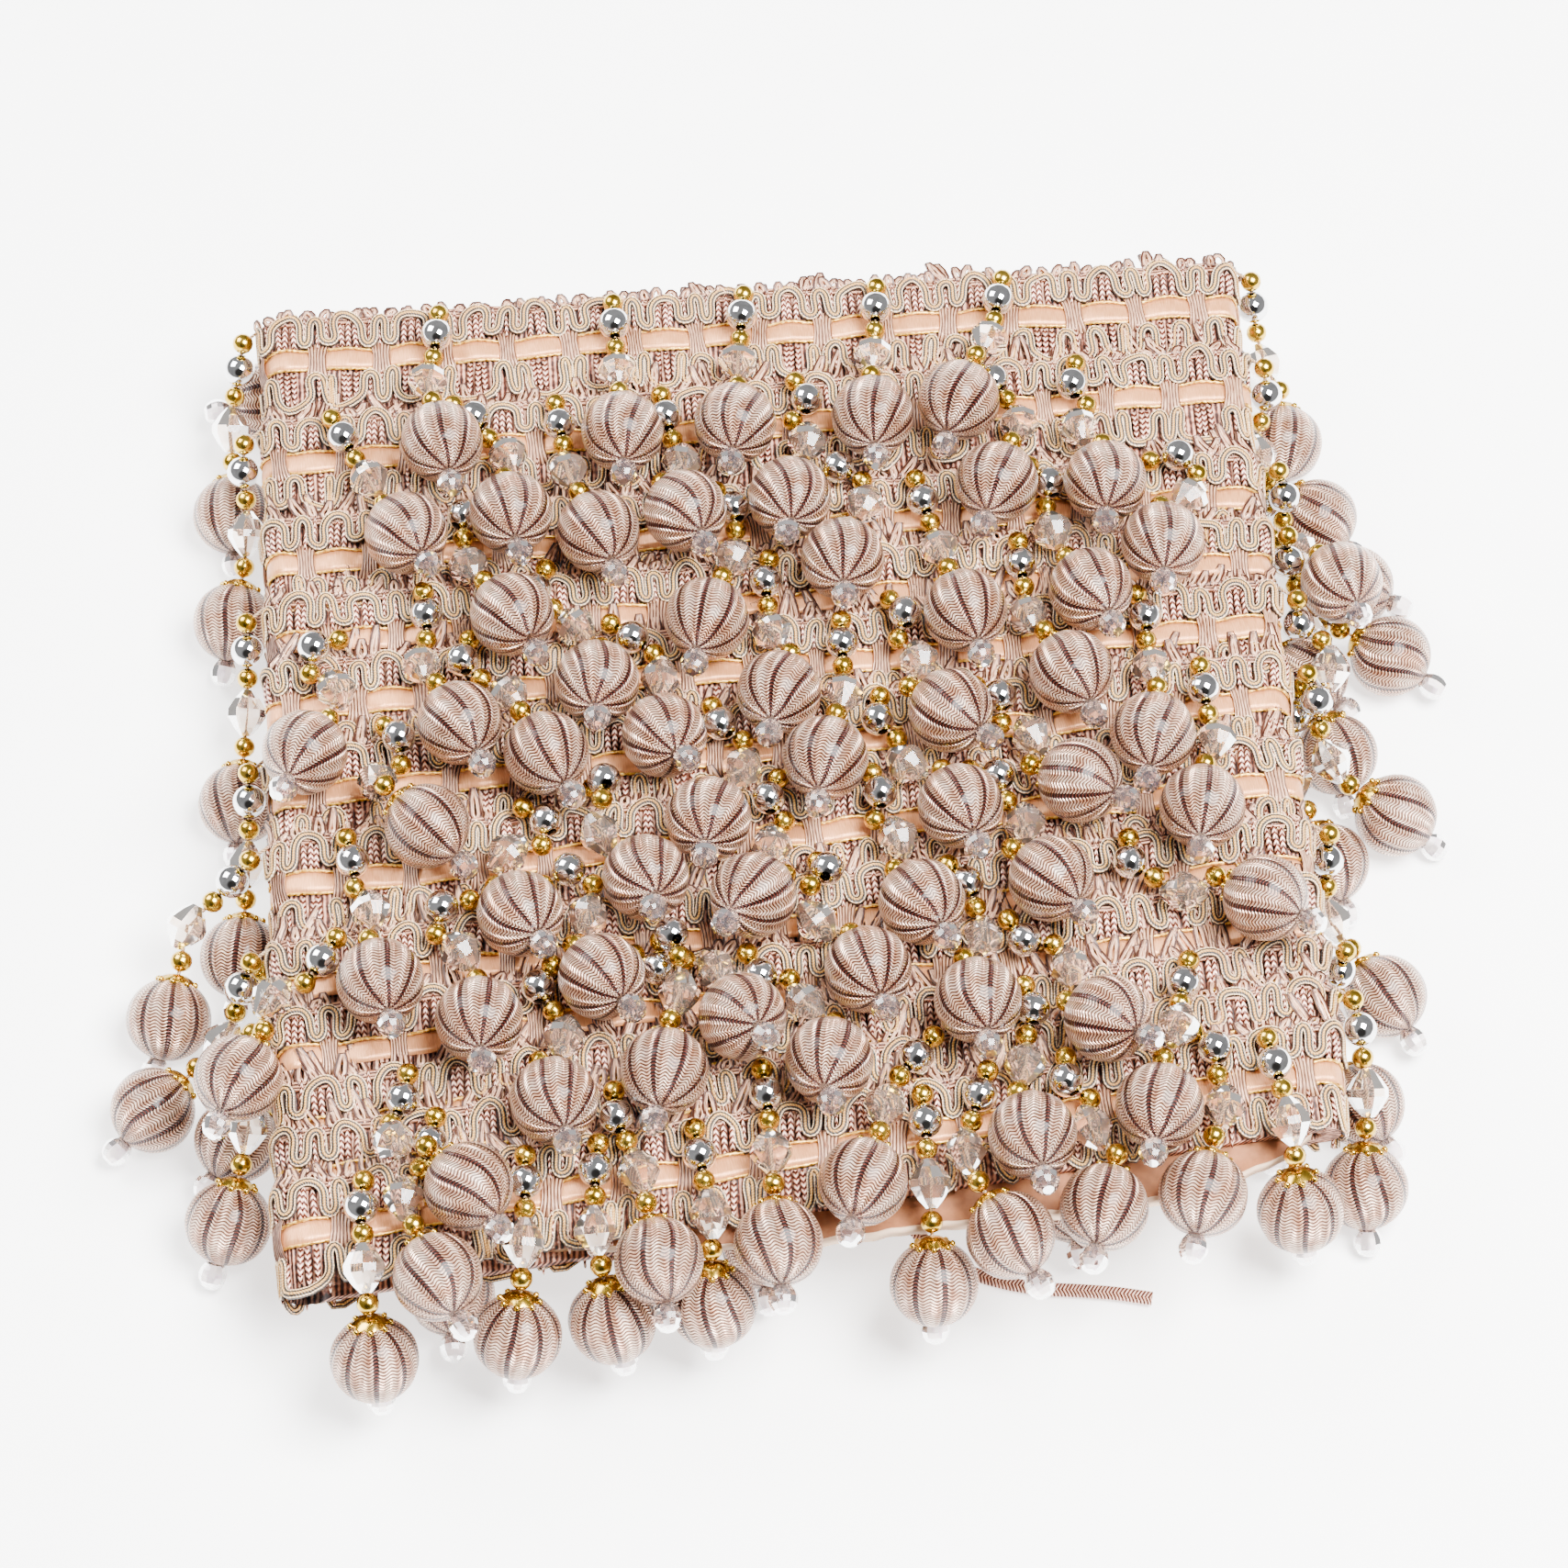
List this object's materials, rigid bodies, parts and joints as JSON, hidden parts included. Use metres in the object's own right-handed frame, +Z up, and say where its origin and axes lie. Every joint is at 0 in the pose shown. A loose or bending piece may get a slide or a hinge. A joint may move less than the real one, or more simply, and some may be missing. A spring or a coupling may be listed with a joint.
{
  "type": "beaded fringe trim wound on a flat card",
  "caption": "Braided heading with a ribbon, wound round a flat card, edged with strings of beads that end in thread-wrapped balls.",
  "frame": {"origin": "centre of the bundle's footprint, on the surface that it lies on", "axes": "+X along the card's width, +Y towards the first turn, +Z up from the surface"},
  "size_m": [0.3303, 0.2907, 0.0641],
  "materials": {
    "braid": "looped gimp braid with lurex and a satin ribbon",
    "wrapped_thread": "glossy wound thread",
    "board": "plain uncoated card",
    "gold_bead": "polished",
    "silver_bead": "mirror",
    "clear_bead": "clear faceted"
  },
  "bodies": {
    "root": {"card": "board", "fringe_back_01": "wrapped_thread", "fringe_back_02": "wrapped_thread", "fringe_back_03": "wrapped_thread", "fringe_back_04": "wrapped_thread", "fringe_back_05": "wrapped_thread", "fringe_back_06": "wrapped_thread", "fringe_back_07": "wrapped_thread", "fringe_back_08": "wrapped_thread", "fringe_back_09": "wrapped_thread", "fringe_back_10": "wrapped_thread", "fringe_front_01": "wrapped_thread", "fringe_front_02": "wrapped_thread", "fringe_front_03": "wrapped_thread", "fringe_front_04": "wrapped_thread", "fringe_front_05": "wrapped_thread", "fringe_front_06": "wrapped_thread", "fringe_front_07": "wrapped_thread", "fringe_front_08": "wrapped_thread", "fringe_front_09": "wrapped_thread", "fringe_front_10": "wrapped_thread", "fringe_front_11": "wrapped_thread", "fringe_front_12": "wrapped_thread", "fringe_left_01": "wrapped_thread", "fringe_left_02": "wrapped_thread", "fringe_left_04": "wrapped_thread", "fringe_left_06": "wrapped_thread", "fringe_left_07": "wrapped_thread", "fringe_left_08": "wrapped_thread", "fringe_left_09": "wrapped_thread", "fringe_right_01": "wrapped_thread", "fringe_right_02": "wrapped_thread", "fringe_right_03": "wrapped_thread", "fringe_right_04": "wrapped_thread", "fringe_right_05": "wrapped_thread", "fringe_right_06": "wrapped_thread", "fringe_right_08": "wrapped_thread", "fringe_right_10": "wrapped_thread", "fringe_right_11": "wrapped_thread", "heading_wound": "braid", "tie_end": "braid"}
  },
  "joints": []
}
